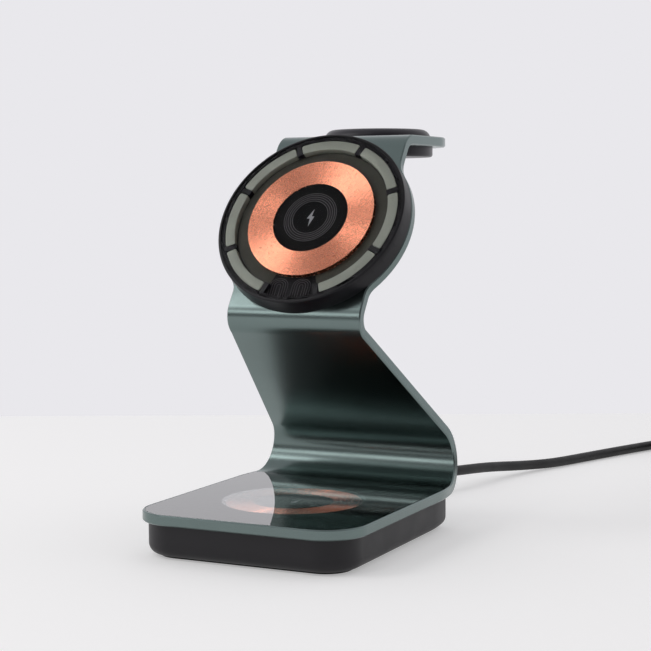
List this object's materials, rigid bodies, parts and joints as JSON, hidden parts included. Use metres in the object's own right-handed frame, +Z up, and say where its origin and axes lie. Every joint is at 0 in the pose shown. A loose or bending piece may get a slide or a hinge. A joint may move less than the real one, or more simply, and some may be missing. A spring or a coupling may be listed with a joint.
{
  "type": "three-in-one charging station",
  "caption": "Bent-plate wireless charging stand: round tilted phone pad with a magnet ring, watch puck on the rear shelf and a glass-topped base for earbuds.",
  "frame": {"origin": "on the table, in the middle of the stand's own width and depth, without the mains lead", "axes": "+Z up, +Y to the rear, where the watch shelf and the lead are, +X to the right seen from the front"},
  "size_m": [0.1485, 0.2911, 0.1217],
  "materials": {
    "anodised_plate": "bead-blasted, anodised grey-green",
    "flex_film": "thin black film",
    "clear_glass": "clear, polished",
    "clear_window": "clear, anti-reflection coated",
    "black_film": "black adhesive film",
    "black_plastic": "moulded black",
    "ferrite_sheet": "dark olive ferrite sheet",
    "copper_winding": "copper winding, fine turns",
    "disc_board": "black disc",
    "housing_plastic": "fine matte black",
    "circuit_board": "green circuit board",
    "screw_steel": "plain steel",
    "foot_rubber": "black rubber sheet",
    "pad_plastic": "satin black",
    "antenna_film": "dark grey film with fine turns",
    "magnet_metal": "matt grey-green coating",
    "puck_plastic": "satin dark grey",
    "dish_plastic": "smooth dark grey",
    "cord_rubber": "black jacket",
    "plug_plastic": "moulded black",
    "plug_steel": "drawn steel shell"
  },
  "bodies": {
    "root": {"stand_plate": "anodised_plate", "channel_cover": "anodised_plate", "ribbon_cable": "flex_film", "base_glass": "clear_glass", "base_film": "black_film", "base_coil_tray": "black_plastic", "base_ferrite": "ferrite_sheet", "base_coil": "copper_winding", "base_disc": "disc_board", "base_housing": "housing_plastic", "main_board": "circuit_board", "base_screws": "screw_steel", "foot_pad": "foot_rubber", "pad_shell": "pad_plastic", "pad_board": "circuit_board", "pad_ferrite": "ferrite_sheet", "pad_coil": "copper_winding", "pad_disc": "disc_board", "pad_antenna": "antenna_film", "pad_magnets": "magnet_metal", "pad_flex": "flex_film", "pad_window": "clear_window", "pad_screws": "screw_steel", "watch_bezel": "puck_plastic", "watch_face": "dish_plastic", "watch_coil": "copper_winding", "watch_magnet": "magnet_metal", "watch_ferrite": "ferrite_sheet", "watch_board": "circuit_board", "watch_cap": "puck_plastic", "cable_gland": "cord_rubber", "power_cord": "cord_rubber", "cord_coil": "cord_rubber", "cord_tail": "cord_rubber", "plug_body": "plug_plastic", "plug_shell": "plug_steel"}
  },
  "joints": []
}
